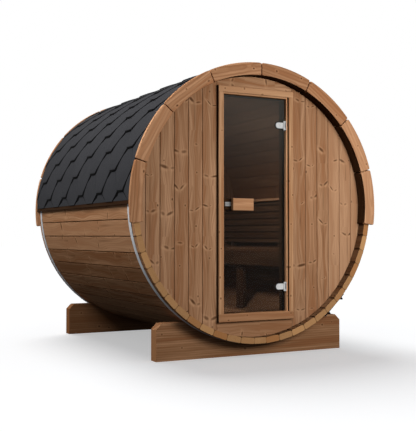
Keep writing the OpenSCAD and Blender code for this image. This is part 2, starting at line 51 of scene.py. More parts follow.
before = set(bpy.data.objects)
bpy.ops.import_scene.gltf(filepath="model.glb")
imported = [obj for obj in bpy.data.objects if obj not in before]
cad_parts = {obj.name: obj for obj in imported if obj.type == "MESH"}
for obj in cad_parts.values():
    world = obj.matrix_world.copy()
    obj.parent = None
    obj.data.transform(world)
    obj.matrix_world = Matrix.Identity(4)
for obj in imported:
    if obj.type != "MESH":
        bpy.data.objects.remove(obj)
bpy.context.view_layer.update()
WOOD_SHEEN = 0.0
WHITE = (1, 1, 1, 1)
FLOOR = "studio_floor"


def low(node):
    """Lowest corner of a node of the part."""
    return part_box(node)[0]


def high(node):
    """Highest corner of a node of the part."""
    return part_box(node)[1]


def middle(node):
    """Middle of a node of the part."""
    return (low(node) + high(node)) / 2


def front_middle(node):
    """Middle of a node's front face."""
    return Vector((middle(node).x, low(node).y, middle(node).z))


# Places that the finishes and the new pieces take from the part
AXIS_Z = middle("band_front").z
STAVE_END = high("staves_bottom").y
STAVE_OUT = AXIS_Z - low("staves_bottom").z
TRIM_OUT = -low("trim_front_left").x
TRIM_FACE = -low("trim_front_left").y
WALL_FACE = -low("front_wall_left").y
SHINGLE_BED = high("roof_boards_right").x + 0.0004
EAVE = math.acos((low("roof_boards_right").z - AXIS_Z) / STAVE_OUT)
FRAME_HALF = high("door_jamb_right").x
FRAME_FACE = low("door_jamb_right").y
CASING_IN = low("door_jamb_right").x + 0.010
RETURN_IN = CASING_IN + 0.0012
RETURN_FRONT = FRAME_FACE + 0.002
RETURN_BACK = FRAME_FACE + 0.0175
STRIP_BACK = FRAME_FACE + 0.02
GLASS_BACK = high("door_glass").y
GRIP_BACK = low("handle_outside").y + 0.0285
GRIP_SIDE = low("handle_outside").x + 0.0495

# A hair's breadth, and the gap kept from the wall's face
HAIR = 0.0005
WALL_CLEAR = 0.001

# Trim and pads: the rim inside the trim that takes painted shade, the rounding of a lip by its thickness, and
# steps along both
TRIM_SHADED = 0.0008
LIP_CORNER = 0.45
TRIM_RUNS = 24
PAD_STEPS = 24

# Edges up to one angle are shaded smooth, and those over the other are rounded
SMOOTH_UNDER = math.radians(35)
BEVEL_OVER = math.radians(40)

# Depths below the staves' outer face, and distances from a stave's side, where a dark part starts and ends:
# the joints, the painted shade in the rebate, the darker ticks at the joints within it, and the gaps on the
# sawn ends
JOINT_DEPTH = 0.02
REBATE = (0.042, 0.038)
TICK = (0.010, 0.006)
GAP_EDGE = (0.0035, HAIR)

# Shingles: steps up a course and round the ridge, and ridge pieces with their length in pitches and their
# half width in courses
COURSE_STEPS = 12
RIDGE_STEPS = 24
RIDGE_PIECES = 10
RIDGE_LAP = 1.25
RIDGE_HALF = 0.72

# Numbers that scatter the tones of the shingle tabs
SCATTER = (12.9898, 78.233, 43758.5453)

# Studio: place, aim and size of each lamp, the way and the spread of the sun, and the rings of the floor
LAMPS = {"key": ((0.85, -3.6, 1.6), (0.3, -1.0, AXIS_Z), 1.3),
         "fill": ((-5.0, -1.0, 6.0), (0, 0, AXIS_Z), 3.0),
         "cabin": ((-0.3, -0.5, AXIS_Z + 0.5), (0.6, 0.2, AXIS_Z - 0.6), 0.3)}
SUN_PLACE = (0, 0, 6)
SUN_WAY = (0.0, -0.52, -0.86)
SUN_SPREAD = math.radians(36)
FLOOR_RINGS = (2.0, 6.0, 60.0)
FLOOR_SIDES = 96

# Red, green and blue by which a finish's mean colour is multiplied for each thing that shows in it
PALE = (1.28, 1.32, 1.38)
RED = (0.84, 0.70, 0.61)
DEEP = (0.55, 0.47, 0.41)
FLARE = (1.5, 1.58, 1.62)
KNOT = (0.17, 0.12, 0.09)
JOINT = (0.2, 0.16, 0.14)
SAWN = (0.86, 0.82, 0.78)
SAWN_RING = (0.66, 0.6, 0.54)
SAWN_PORE = (0.5, 0.46, 0.42)
SAWN_BLOTCH = (0.72, 0.62, 0.54)
SAWN_DARK = (0.80, 0.60, 0.45)
SAWN_PALE = (1.3, 1.27, 1.2)
STAVE_GAP = (0.16, 0.14, 0.12)
# Painted light on the lining strip of each jamb, which the casing shades
STRIP_PAINTED_LIGHT = (1.9, 1.9, 1.9)
# Painted shade inside the trim rings
TRIM_SHADE = (0.09, 0.08, 0.07)
SILL_TONE = (0.76, 0.7, 0.66)
# Painted shade on the door stops, which show in the gaps round the glass
STOP_SHADE = (0.12, 0.1, 0.09)
# Painted shade on the catch
CATCH_SHADE = (0.5, 0.5, 0.5)
GRAIN_DARK = (0.8, 0.8, 0.8)
GRAIN_PALE = (1.5, 1.5, 1.52)
CLOUD_DARK = (0.72, 0.72, 0.72)
LOT_DARK = (0.75, 0.75, 0.76)
BLOOM_DARK = (0.86, 0.86, 0.87)
BLOOM_PALE = (1.06, 1.06, 1.06)
FILM_CLEAR = (0.14, 0.14, 0.13)

# How strongly each part of the wood's figure covers the rest
LATEWOOD = 0.36
FIBRES = 0.34
TONES = 0.5
FLARES = 0.6
KNOTS = 0.85

# Widths in metres of the noise in the finishes, across the grain and along it where there are two
STREAK = (0.028, 0.9)
FIBRE = (0.0026, 0.16)
PORE = 0.003
BLOTCH = 0.02
GRANULE = 0.0016
CLOUD = 0.14
SCRATCH = (0.03, 0.0009)

# Depths in metres of the bump
WOOD_RELIEF = 0.0006
GRANULE_RELIEF = 0.0008
SCRATCH_RELIEF = 0.0001


def srgb(red, green, blue):
    """A colour given as 0 to 255, as the linear colour with alpha that a shader takes."""
    share = np.array([red, green, blue]) / 255
    linear = np.where(share <= 0.04045, share / 12.92, ((share + 0.055) / 1.055) ** 2.4)
    return (*map(float, linear), 1.0)


def tinted(colour, red, green, blue):
    """A colour with each channel multiplied."""
    return (colour[0] * red, colour[1] * green, colour[2] * blue, 1.0)


# Painted shade in the gaps of the door frame
SHADE_BLACK = srgb(14, 9, 6)
# Painted shade on the handles behind their grips
BASE_SHADE = srgb(30, 17, 9)
# Black of the shingles' cut edges, and of the painted shadow that they spread onto the course below
CUT_AND_SHADOW_BLACK = srgb(5, 5, 5)


def number_prop(name, description, default, **kind):
    """A number that a user may change."""
    return FloatProperty(name=name, description=description, default=default, **kind)


def size_prop(name, description, default):
    """A length that a user may change."""
    return number_prop(name, description, default, unit="LENGTH")


def angle_prop(name, description, degrees):
    """An angle that a user may change."""
    return number_prop(name, description, math.radians(degrees), subtype="ANGLE")


def count_prop(name, description, default):
    """A count that a user may change."""
    return IntProperty(name=name, description=description, default=default)


def colour_prop(name, description, red, green, blue):
    """A colour that a user may change."""
    return FloatVectorProperty(name=name, description=description, size=4, subtype="COLOR",
                               min=0, max=1, default=srgb(red, green, blue))


class SaunaColours(bpy.types.PropertyGroup):
    """The mean colour of each finish."""

    stave: colour_prop("Staves", "Outside of the barrel staves", 148, 109, 78)
    stave_end: colour_prop("Stave ends", "End grain of the staves", 168, 127, 86)
    trim: colour_prop("Trim", "Boards of the trim rings", 166, 122, 88)
    wall: colour_prop("Walls", "Boards of the end walls", 156, 117, 86)
    panel: colour_prop("Door panels", "Wall panels over and under the door", 158, 118, 86)
    casing: colour_prop("Door frame", "Casing and lining of the door", 168, 126, 91)
    cradle: colour_prop("Cradles", "Planks that carry the barrel", 140, 102, 72)
    eave: colour_prop("Eaves", "Roof boards and eave battens", 64, 46, 33)
    inside: colour_prop("Inside", "Bench, backrest and floor", 140, 103, 74)
    handle: colour_prop("Handle", "Block of the door handle", 170, 126, 91)
    shingle: colour_prop("Shingles", "Mineral face of the shingles", 49, 49, 51)
    band: colour_prop("Bands", "Galvanised steel bands", 190, 191, 192)
    fitting: colour_prop("Fittings", "Brushed steel of hinges and catch", 205, 205, 203)
    iron: colour_prop("Tensioners", "Blackened steel of the tensioners", 22, 22, 23)
    glass: colour_prop("Glass", "Bronze film of the door glass", 60, 59, 55)
    floor: colour_prop("Floor", "Studio floor, as it is seen", 224, 224, 224)
    floor_bounce: colour_prop("Floor bounce", "Studio floor, as it throws light back", 96, 98, 102)


class SaunaSizes(bpy.types.PropertyGroup):
    """Sizes of what the scene adds to the part."""

    side_staves: count_prop("Staves", "Staves on each side of the lowest one", 26)
    lowest_share: number_prop("Lowest stave", "Its width as a share of the others", 0.83, subtype="FACTOR")
    crown_share: number_prop("Crown stave", "Its width as a share of the others", 0.63, subtype="FACTOR")
    stave_thick: size_prop("Stave thickness", "Thickness of a stave at its ends", 0.044)
    stave_notch: size_prop("Stave notch", "Height of the dark notch between the arrises of two staves", 0.010)
    wall_board: size_prop("Wall board", "Width of a wall board right of the door, or at the back", 0.106)
    wall_first: size_prop("First board", "Width of the first wall board right of the door", 0.124)
    wall_left: size_prop("Left board", "Width of a wall board left of the door", 0.110)
    wall_left_first: size_prop("First left board", "Width of the first wall board left of the door", 0.118)
    trim_width: size_prop("Trim width", "Width of a trim board across the ring", 0.092)
    trim_angle: angle_prop("Trim angle", "Angle that each trim board covers", 24.5)
    trim_boards: count_prop("Trim boards", "Trim boards on each side of the crown", 4)
    trim_joint: size_prop("Trim joint", "Open joint between two trim boards", 0.006)
    trim_round: size_prop("Trim rounding", "Rounding of the trim boards' arrises", 0.005)
    trim_lip: size_prop("Trim lip", "Thickness of the lip that reaches from the trim to the wall", 0.0176)
    trim_corner: size_prop("Trim corners", "Rounding of the trim boards' outline at their ends", 0.012)
    tab_pitch: size_prop("Tab pitch", "Distance between two shingle tabs along the roof", 0.403)
    tab_flat: size_prop("Tab flat", "Width of the flat foot of a shingle tab", 0.100)
    tab_first: size_prop("First tab", "Place along Y of a tab's middle in the lowest course", -0.891)
    shingle: size_prop("Shingle thickness", "Thickness of a shingle", 0.0052)
    # The cut edge's spread onto the course below is painted shadow
    skirt: size_prop("Shingle edge", "How far the black cut edge of a tab spreads on the course below", 0.016)
    first_course: angle_prop("Lowest course", "Angle from the crown to the lowest tabs", 85.0)
    course_angle: angle_prop("Course", "Angle between two shingle courses", 8.75)
    courses: count_prop("Courses", "Shingle courses with tabs on each side", 9)
    handle_round: size_prop("Handle rounding", "Rounding of the handles' edges", 0.003)
    clamp: size_prop("Hinge clamp", "Height of a hinge clamp on the glass", 0.043)
    pad_width: size_prop("Pad width", "Width of the black pad that shows round a hinge clamp", 0.006)
    pad_thick: size_prop("Pad thickness", "Thickness of the pads round the hinge clamps", 0.002)
    pad_run: size_prop("Pad run", "Straight run of a pad beside its clamp", 0.026)


class SaunaStage(bpy.types.PropertyGroup):
    """Camera and light of the studio."""

    camera_place: FloatVectorProperty(name="Camera", description="Place of the camera", subtype="TRANSLATION",
                                      default=(-3.154, -6.166, 0.870))
    camera_aim: FloatVectorProperty(name="Aim", description="Direction that the camera looks in",
                                    subtype="DIRECTION", default=(0.471, 0.8818, 0.0237))
    lens: number_prop("Lens", "Focal length in millimetres", 68.95)
    sky: number_prop("Sky", "Light from all round", 0.26)
    sky_colour: FloatVectorProperty(name="Sky colour", description="Colour of the light from all round",
                                    size=4, subtype="COLOR", min=0, default=(0.95, 1.0, 1.08, 1.0))
    top: number_prop("Top", "Strength of the soft sun above and behind", 1.96)
    key: number_prop("Key", "Power of the lamp in front, to the right", 76, unit="POWER")
    fill: number_prop("Fill", "Power of the lamp on the left", 560, unit="POWER")
    cabin: number_prop("Cabin", "Power of the lamp inside the cabin", 17.0, unit="POWER")
    glow: number_prop("Glow", "Glow of the floor for the camera", 0.43)


class SaunaSettings(bpy.types.PropertyGroup):
    """All settings of the add-on."""

    colours: PointerProperty(type=SaunaColours)
    sizes: PointerProperty(type=SaunaSizes)
    stage: PointerProperty(type=SaunaStage)


def operation(name):
    """A method that adds one Math node."""
    return lambda self, *others: self.nodes.node("ShaderNodeMath", {"operation": name}, [self, *others])


class Value:
    """One socket of a node tree. Sums and products of Values add Math nodes to that tree."""

    def __init__(self, nodes, socket):
        self.nodes = nodes
        self.socket = socket

    __add__ = __radd__ = operation("ADD")
    __mul__ = __rmul__ = operation("MULTIPLY")
    __sub__ = operation("SUBTRACT")
    __truediv__ = operation("DIVIDE")
    __gt__ = operation("GREATER_THAN")
    __lt__ = operation("LESS_THAN")
    __abs__ = operation("ABSOLUTE")
    floor = operation("FLOOR")
    fraction = operation("FRACT")
    root = operation("SQRT")
    sine = operation("SINE")
    cosine = operation("COSINE")
    growth = operation("EXPONENT")
    larger = operation("MAXIMUM")
    turn_from = operation("ARCTAN2")

    def __rsub__(self, other):
        return self.nodes.node("ShaderNodeMath", {"operation": "SUBTRACT"}, [other, self])

    def bell(self, width):
        """1 at zero, falling to nothing at a few widths on both sides."""
        return ((self / width) * (self / width) * -1).growth()

    def step(self, start, end):
        """0 before start and 1 after end, smoothly in between."""
        return self.nodes.node("ShaderNodeMapRange", {"interpolation_type": "SMOOTHSTEP"}, [self, start, end])


class Nodes:
    """A node tree in the making."""

    def __init__(self, tree):
        self.tree = tree
        tree.nodes.clear()

    def node(self, kind, settings=None, sockets=(), out=0):
        """Adds a node, sets its settings first and its sockets after that, and gives one output."""
        made = self.tree.nodes.new(kind)
        for name, value in (settings or {}).items():
            setattr(made, name, value)
        pairs = sockets.items() if isinstance(sockets, dict) else enumerate(sockets)
        for key, value in pairs:
            self.feed(made.inputs[key], value)
        return Value(self, made.outputs[out]) if made.outputs else made

    def feed(self, socket, value):
        """Links a Value to a socket, or sets the socket to a plain value."""
        if isinstance(value, Value):
            self.tree.links.new(value.socket, socket)
        else:
            socket.default_value = value

    def mix(self, share, first, second, blend="MIX"):
        """A colour between two others."""
        return self.node("ShaderNodeMix", {"data_type": "RGBA", "blend_type": blend},
                         {0: share, 6: first, 7: second}, 2)

    def seen(self):
        """1 for rays that show the background: from the camera, mirrored, or through glass."""
        kinds = ("Is Camera Ray", "Is Glossy Ray", "Is Transmission Ray")
        camera, glossy, through = [self.node("ShaderNodeLightPath", out=kind) for kind in kinds]
        return camera.larger(glossy).larger(through)


class Finish(Nodes):
    """A material in the making: a Principled shader, and the few nodes that every finish needs."""

    def __init__(self, name, **inputs):
        self.material = bpy.data.materials.new(name)
        self.material.use_nodes = True
        super().__init__(self.material.node_tree)
        surface = self.node("ShaderNodeBsdfPrincipled")
        self.shader = surface.socket.node
        self.node("ShaderNodeOutputMaterial", {}, {"Surface": surface})
        self.paint(**inputs)

    def paint(self, **inputs):
        """Feeds the shader's inputs, named with underscores for spaces."""
        for name, value in inputs.items():
            self.feed(self.shader.inputs[name.replace("_", " ")], value)

    def place(self):
        """X, Y and Z of the surface, in the part's frame."""
        spot = self.node("ShaderNodeTexCoord", out="Object")
        return [self.node("ShaderNodeSeparateXYZ", sockets=[spot], out=axis) for axis in "XYZ"]

    def stain(self, body, colour, *layers):
        """A body colour with layers over it, each of them a share and a tint of one colour."""
        for share, tint in layers:
            body = self.mix(share, body, tinted(colour, *tint))
        return body

    def shade(self, share, body, tint):
        """A body colour that is multiplied by a tint over a share of the surface."""
        return self.mix(share, body, tinted(WHITE, *tint), "MULTIPLY")

    def vector(self, x, y, z):
        """A vector of three numbers."""
        return self.node("ShaderNodeCombineXYZ", sockets=[x, y, z])

    def random(self, first, second=0.0):
        """Three random numbers from 0 to 1 that depend on two others."""
        draw = self.node("ShaderNodeTexWhiteNoise", {"noise_dimensions": "2D"},
                         {"Vector": self.vector(first, second, 0.0)}, "Color")
        return [self.node("ShaderNodeSeparateColor", sockets=[draw], out=part) for part in range(3)]

    def noise(self, x, y, z, detail=2.0, roughness=0.5):
        """Smooth noise from 0 to 1 over three coordinates."""
        return self.node("ShaderNodeTexNoise", {}, {"Vector": self.vector(x, y, z), "Scale": 1.0,
                                                     "Detail": detail, "Roughness": roughness})

    def relief(self, height, depth):
        """Feeds a height from 0 to 1 to the surface as bump."""
        bump = self.node("ShaderNodeBump", {}, {"Strength": 1.0, "Distance": depth, "Height": height})
        self.paint(Normal=bump)

    def coat(self, colour):
        """Feeds the colour, and gives the finished material."""
        self.paint(Base_Color=colour)
        return self.material


def stretches(f, along, board, pitch):
    """Cuts a board into stretches of one pitch, with one thing at a random height in each.

    Gives the stretch's number, its three random numbers, of which the first is the height, and the distance
    along the board from that height.
    """
    spot = along / pitch
    cell = spot.floor()
    draws = f.random(cell, board)
    return cell, draws, (spot - cell - 0.15 - draws[0] * 0.7) * pitch


def pin_knots(f, across, along, board, width, pitch, size):
    """Small round knots, one at a random place in each stretch of one pitch: dark knots and pale rings."""
    _, (height, centre, girth), rise = stretches(f, along, board, pitch)
    out = across - (centre - 0.5) * width * 0.85
    reach = (0.0022 + girth * 0.0028) * size
    far = (out * out + rise * rise * (0.3 + centre * 0.9)).root() / reach
    shown = (girth > 0.35) * (0.6 + height * 0.4)
    return (1 - far.step(0.5, 1.25)) * shown, (far - 1.7).bell(0.6) * shown * 0.35


def whorls(f, across, along, board, width, pitch, size, lean_most):
    """Whorls of branches: masks of dark knots and of pale flares, and a shift that bends the grain.

    Each stretch of one pitch has a whorl at a random height, and some have a dark streak that runs down from
    the pith. A branch leans up from the pith to each side: a long knot with a faint pale ring round it and a
    pale streak under it that runs on towards the board's edge. Some knots are black, and some only brown.
    """
    cell, (_, pith, girth), rise = stretches(f, along, board, pitch)
    out = across - (pith - 0.5) * width * 0.45
    scale = (0.65 + girth * 0.7) * size
    knots = out.bell(0.0024 * size) * (rise + 0.045 * size).bell(0.04 * size) * (pith > 0.6) * 0.4
    flares = None
    for side, seed in ((-1, 0.31), (1, 0.67)):
        share, slope, length = f.random(cell + seed, board)
        lean = slope * lean_most + 0.04
        run = out * side * lean.cosine() + rise * lean.sine()
        over = rise * lean.cosine() - out * side * lean.sine()
        half = (0.004 + length * 0.009) * scale
        thick = (0.0020 + share * 0.0022) * scale
        from_middle = run - half - scale * 0.003
        body = ((from_middle / half) * (from_middle / half) + (over / thick) * (over / thick)).root()
        grown = share > 0.2
        knots = knots.larger((1 - body.step(0.4, 1.25)) * grown * (0.5 + length * 0.5))
        ends = run.step(0.0, 0.006 * size) * (1 - run.step(half * 2.2, half * 4.0))
        streak = (over + thick * 1.5).bell(thick) * ends * (0.5 + slope * 0.5)
        pale = ((body - 1.5).bell(0.4) * 0.4).larger(streak) * grown
        flares = pale if flares is None else flares.larger(pale)
    spread = (out * out + rise * rise * 0.3) * (-1 / (0.026 * size) ** 2)
    return knots, flares, out * spread.growth()


def spruce(f, across, along, board, width, colour, pitch=0.36, size=2.3, lean_most=0.85, pin_pitch=0.42,
           pin_size=1.35, ring=0.011, groove=0.003, contrast=1.0, joint=0.4, drift=0.9):
    """Heat-treated spruce on boards along one coordinate: feeds roughness and bump, and gives the colour.

    Growth rings are circles about a pith whose depth below the face drifts along the board, so they show as
    lines along the grain, with arches. Broad streaks and fine fibre follow them, and all bend round the
    knots. Each board has its own tone and its own stretch of timber, and is darker beside its joints.
    A pitch of 0 leaves the whorls out.
    """
    tone, start, pith = f.random(board, 0.37)
    along = along + start * 9.0
    knots, flares = pin_knots(f, across, along, board, width, pin_pitch, pin_size)
    grain = across
    if pitch:
        branches, streaks, shift = whorls(f, across, along, board, width, pitch, size, lean_most)
        knots, flares, grain = knots.larger(branches), flares.larger(streaks), across - shift * 0.7
    depth = (f.noise(along / drift, board * 2.7, 0.0) - 0.5) * 0.12
    off = grain - (pith - 0.5) * width
    rings = ((off * off + depth * depth).root() / ring + start * 5).fraction()
    latewood = rings.step(0.3, 0.9) * (1 - rings.step(0.92, 1.0))
    bands = f.noise(grain / STREAK[0], along / STREAK[1], board * 1.7, 3.0, 0.55)
    fibre = f.noise(grain / FIBRE[0], along / FIBRE[1], board * 2.3, 3.0, 0.6)
    broad = min(contrast, 1.0)
    red = tinted(colour, *RED)
    body = f.mix(bands.step(0.36, 0.54), f.mix(broad, colour, red), colour)
    body = f.stain(body, colour, (bands.step(0.50, 0.64) * broad, PALE),
                   (latewood * LATEWOOD * contrast, DEEP), (fibre.step(0.42, 0.8) * FIBRES * contrast, DEEP))
    body = f.mix(tone.step(0.5, 1.0) * TONES, body, f.mix(pith, tinted(colour, *DEEP), red))
    edge = abs(across).step(width / 2 - groove - 0.001, width / 2 - groove * 0.4)
    f.paint(Roughness=0.55 + fibre * 0.2)
    f.relief(fibre * 0.5 + latewood * 0.3 - knots * 0.4, WOOD_RELIEF)
    return f.stain(body, colour, ((1 - tone).step(0.5, 1.0) * TONES, PALE), (flares * FLARES, FLARE),
                   (knots * KNOTS, KNOT), (edge * joint, JOINT))


def end_grain(f, u, v, piece, colour):
    """Sawn ends: growth rings as circles about a pith that lies off the board, pores and dark blotches."""
    tone, off_u, off_v = f.random(piece, 7.7)
    u_off = u - (off_u - 0.5) * 0.3
    v_off = v - 0.05 - off_v * 0.1
    rings = ((u_off * u_off + v_off * v_off).root() / 0.008).fraction().step(0.4, 0.95)
    pores = f.noise(u / PORE, v / PORE, piece, 3.0, 0.7)
    blotch = f.noise(u / BLOTCH, v / BLOTCH, piece, 2.0, 0.6)
    return f.stain(colour, colour, (rings * 0.45, SAWN_RING), (pores.step(0.4, 0.75) * 0.5, SAWN_PORE),
                   (blotch.step(0.45, 0.75) * 0.4, SAWN_BLOTCH), (tone.step(0.5, 0.9) * 0.7, SAWN_DARK),
                   ((1 - tone).step(0.5, 1.0) * 0.5, SAWN_PALE))


def matt_wood(name):
    """A finish of wood, with no sheen."""
    return Finish(name, Specular_IOR_Level=WOOD_SHEEN)


def straight_grain(f, colour, grain, across, width, centre, **look):
    """Spruce on a straight piece, split into boards of one width about a centre. Axes are X, Y or Z.

    Gives the place on the part, the place from the centre, the board's number and the colour.
    """
    spot = dict(zip("XYZ", f.place()))
    centre = dict(zip("XYZ", centre))
    local = {axis: spot[axis] - centre[axis] for axis in "XYZ"}
    third = next(axis for axis in "XYZ" if axis not in (grain, across))
    number = (local[across] / width + 0.5).floor()
    board = number + centre[across] * 31 + centre[third] * 17
    u = local[across] - number * width + local[third] * 0.8
    return spot, local, board, spruce(f, u, local[grain], board, width, colour, **look)


def straight_wood(name, colour, grain, across, width=0.2, centre=(0, 0, 0), ends=None, **look):
    """Wood of a straight piece. ends is the distance from its centre at which its sawn ends start."""
    f = matt_wood(name)
    _, local, board, body = straight_grain(f, colour, grain, across, width, centre, **look)
    if ends is not None:
        u, v = [local[axis] for axis in "XYZ" if axis != grain]
        body = f.mix(abs(local[grain]) > ends - HAIR, body, end_grain(f, u, v, board, tinted(colour, *SAWN)))
    return f.coat(body)


def frame_wood(node, colour):
    """Wood of the door frame, with painted light on a strip along the inner edge of each jamb.

    It has painted shade, near black, where shade falls in gaps: on its sides in the wall, under its sill and
    on the returns of its casing. Its lining behind the glass has painted shade too, a little lighter.
    """
    f = matt_wood(node + "_wood")
    upright = "jamb" in node
    grain, across = ("Z", "X") if upright else ("X", "Z")
    spot, _, _, body = straight_grain(f, colour, grain, across, 0.05, front_middle(node), pitch=0,
                                      pin_pitch=0.18, pin_size=1.6, ring=0.016, contrast=0.9, joint=0)
    out, y = abs(spot["X"]), spot["Y"]
    returns = (out < RETURN_IN) * (y > RETURN_FRONT) * (y < RETURN_BACK) * float(upright)
    under = spot["Z"] < low("door_sill").z + HAIR
    # Painted shade, near black, where shade falls in gaps, and a little less on the lining behind the glass
    painted_shade = returns.larger(out > FRAME_HALF - HAIR).larger(under).larger((y > GLASS_BACK) * 0.85)
    # Painted light on the lining strip beside each jamb's casing
    body = f.shade((out < CASING_IN) * (y < STRIP_BACK) * float(upright), body, STRIP_PAINTED_LIGHT)
    return f.coat(f.mix(painted_shade * 0.9, body, SHADE_BLACK))


def handle_wood(node, colour):
    """Wood of a door handle: a pale grip, with painted shade on the block behind it and on its side by the
    catch.
    """
    f = matt_wood(node + "_wood")
    spot, _, _, body = straight_grain(f, colour, "X", "Z", 0.2, middle(node), pitch=0, pin_pitch=3.0,
                                      contrast=0.7, joint=0)
    # Painted shade behind the grip, and a little less on the side by the catch
    base = (spot["Y"] > GRIP_BACK).larger((spot["X"] < GRIP_SIDE) * 0.7)
    return f.coat(f.mix(base * 0.95, body, BASE_SHADE))


def stave_wood(sizes, colours):
    """Staves: one board each, grain along the barrel, sawn ends yellow, and painted shade in the rebate round
    each wall.

    The angle is measured from the barrel's lowest point, up the left side.
    """
    f = matt_wood("stave_wood")
    x, y, z = f.place()
    drop = AXIS_Z - z
    angle = (x * -1).turn_from(drop)
    side = abs(angle)
    radius = (x * x + drop * drop).root()
    pitch = math.tau / (2 * sizes.side_staves + sizes.lowest_share + sizes.crown_share)
    narrow = (1 - sizes.lowest_share) / 2
    number = (side / pitch + narrow + 0.5).floor()
    across = (side - (number - narrow).larger(0.0) * pitch) * STAVE_OUT
    off = abs(across)
    board = number * ((angle > 0) * 2.0 - 1)
    width = pitch * STAVE_OUT
    body = spruce(f, across, y, board, width, tuple(colours.stave), pitch=0.5, size=3.0, lean_most=0.3,
                  ring=0.016, contrast=1.4, groove=0.005,
                  joint=0.9 - (radius < STAVE_OUT - JOINT_DEPTH) * 0.6)
    # Painted shade in the rebate round each wall: near black where the trim is over it, brown below, darker
    # at the joints
    rebate = (1 - radius.step(*[STAVE_OUT - depth for depth in REBATE])) * (abs(y) > WALL_FACE - WALL_CLEAR)
    tone = f.random(board, 3.3)[0]
    trim_end = math.pi - sizes.trim_boards * sizes.trim_angle
    tick = off.step(*[width / 2 - inset for inset in TICK])
    dim = (0.38 - (side - trim_end).step(-0.03, 0.03) * 0.30) * (0.6 + tone * 0.7) * (1 - tick * 0.85)
    body = f.mix(rebate, body, f.vector(dim, dim, dim), "MULTIPLY")
    sawn = end_grain(f, across, radius - STAVE_OUT, board, tuple(colours.stave_end))
    inner = (STAVE_OUT - sizes.stave_thick + sizes.stave_notch - radius).larger(0.0)
    outer = (radius - STAVE_OUT + sizes.stave_notch * 0.6).larger(0.0)
    gap = (off - width / 2 + inner.larger(outer)).step(*[-inset for inset in GAP_EDGE])
    sawn = f.stain(sawn, colours.stave_end, (gap * 0.75, STAVE_GAP))
    return f.coat(f.mix(abs(y) > STAVE_END - HAIR, body, sawn))


def trim_wood(sizes, colours):
    """Trim boards: each is cut from a straight plank, so its grain runs along its own chord. Their inner
    faces and the lips behind them have painted shade, near black.
    """
    f = matt_wood("trim_wood")
    x, y, z = f.place()
    rise = z - AXIS_Z
    board = (x.turn_from(rise) / sizes.trim_angle).floor()
    lean = (board + 0.5) * sizes.trim_angle
    outward = x * lean.sine() + rise * lean.cosine()
    chord = x * lean.cosine() - rise * lean.sine()
    across = outward - (TRIM_OUT - sizes.trim_width * 0.6) + (TRIM_FACE - abs(y)) * 0.6
    piece = board * 2.0 + (y > 0) * 57.0
    body = spruce(f, across, chord, piece, sizes.trim_width, tuple(colours.trim), pitch=0, pin_pitch=0.2,
                  pin_size=1.5, ring=0.024, contrast=1.6, joint=0, drift=0.25)
    # Painted shade, near black, on the boards' inner faces and on the lips behind them
    inner = (x * x + rise * rise).root() < TRIM_OUT - sizes.trim_width + TRIM_SHADED
    return f.coat(f.shade(inner.larger(abs(y) < STAVE_END), body, TRIM_SHADE))


def wall_wood(sizes, colours, front):
    """Wall boards: upright, counted out from both sides of the door frame, or from the middle at the back."""
    f = matt_wood("wall_wood_front" if front else "wall_wood_back")
    x, _, z = f.place()
    if front:
        right = x > 0
        pitch = sizes.wall_left + right * (sizes.wall_board - sizes.wall_left)
        first = sizes.wall_left_first + right * (sizes.wall_first - sizes.wall_left_first)
        out = abs(x) - FRAME_HALF - first
        number = (out / pitch).floor().larger(-1.0)
        plain = out / pitch - number - 0.5
        u = plain + (number < 0) * (out / first + 0.5 - plain)
        board = (number + 2.0) * (right * 2.0 - 1)
    else:
        number = (x / sizes.wall_board + 0.5).floor()
        u = x / sizes.wall_board - number
        board = number + 60.0
    return f.coat(spruce(f, u * sizes.wall_board, z, board, sizes.wall_board, tuple(colours.wall)))


def shingle_face(colours):
    """Mineral granules on bitumen: a salt of pale and dark grains, slow clouds, and black cut edges, whose
    black spreads onto the course below as painted shadow.
    """
    f = Finish("shingle", Specular_IOR_Level=0.03)
    spot = f.place()
    grains = f.noise(*[axis / GRANULE for axis in spot], 2.0, 0.7)
    clouds = f.noise(*[axis / CLOUD for axis in spot], 3.0)
    cut, lot = [f.node("ShaderNodeAttribute", {"attribute_name": name}, out="Fac")
                for name in ("cut_edge", "lot")]
    colour = tuple(colours.shingle)
    body = f.stain(tinted(colour, *GRAIN_DARK), colour, (grains.step(0.35, 0.75) * 0.55, GRAIN_PALE),
                   (clouds.step(0.35, 0.75) * 0.3, CLOUD_DARK), (lot * 0.35, LOT_DARK))
    f.paint(Roughness=0.8 + grains * 0.15)
    f.relief(grains, GRANULE_RELIEF)
    # The cut edges are black bitumen, and their spread onto the course below is painted shadow
    return f.coat(f.mix(cut, body, CUT_AND_SHADOW_BLACK))


def metal(name, colour, roughness, spangle, metallic=1.0, sheen=0.2):
    """Steel: slow patches of bloom and fine scratches in its roughness."""
    f = Finish(name, Metallic=metallic, Specular_IOR_Level=sheen)
    x, y, z = f.place()
    bloom = f.noise(x / spangle, y / spangle, z / spangle, 3.0, 0.6)
    scratch = f.noise(x / SCRATCH[0], y / SCRATCH[0], z / SCRATCH[1], 2.0)
    f.paint(Roughness=roughness - 0.06 + bloom * 0.1 + scratch * 0.05)
    f.relief(scratch, SCRATCH_RELIEF)
    return f.coat(f.stain(tinted(colour, *BLOOM_DARK), colour, (bloom.step(0.3, 0.7), BLOOM_PALE)))


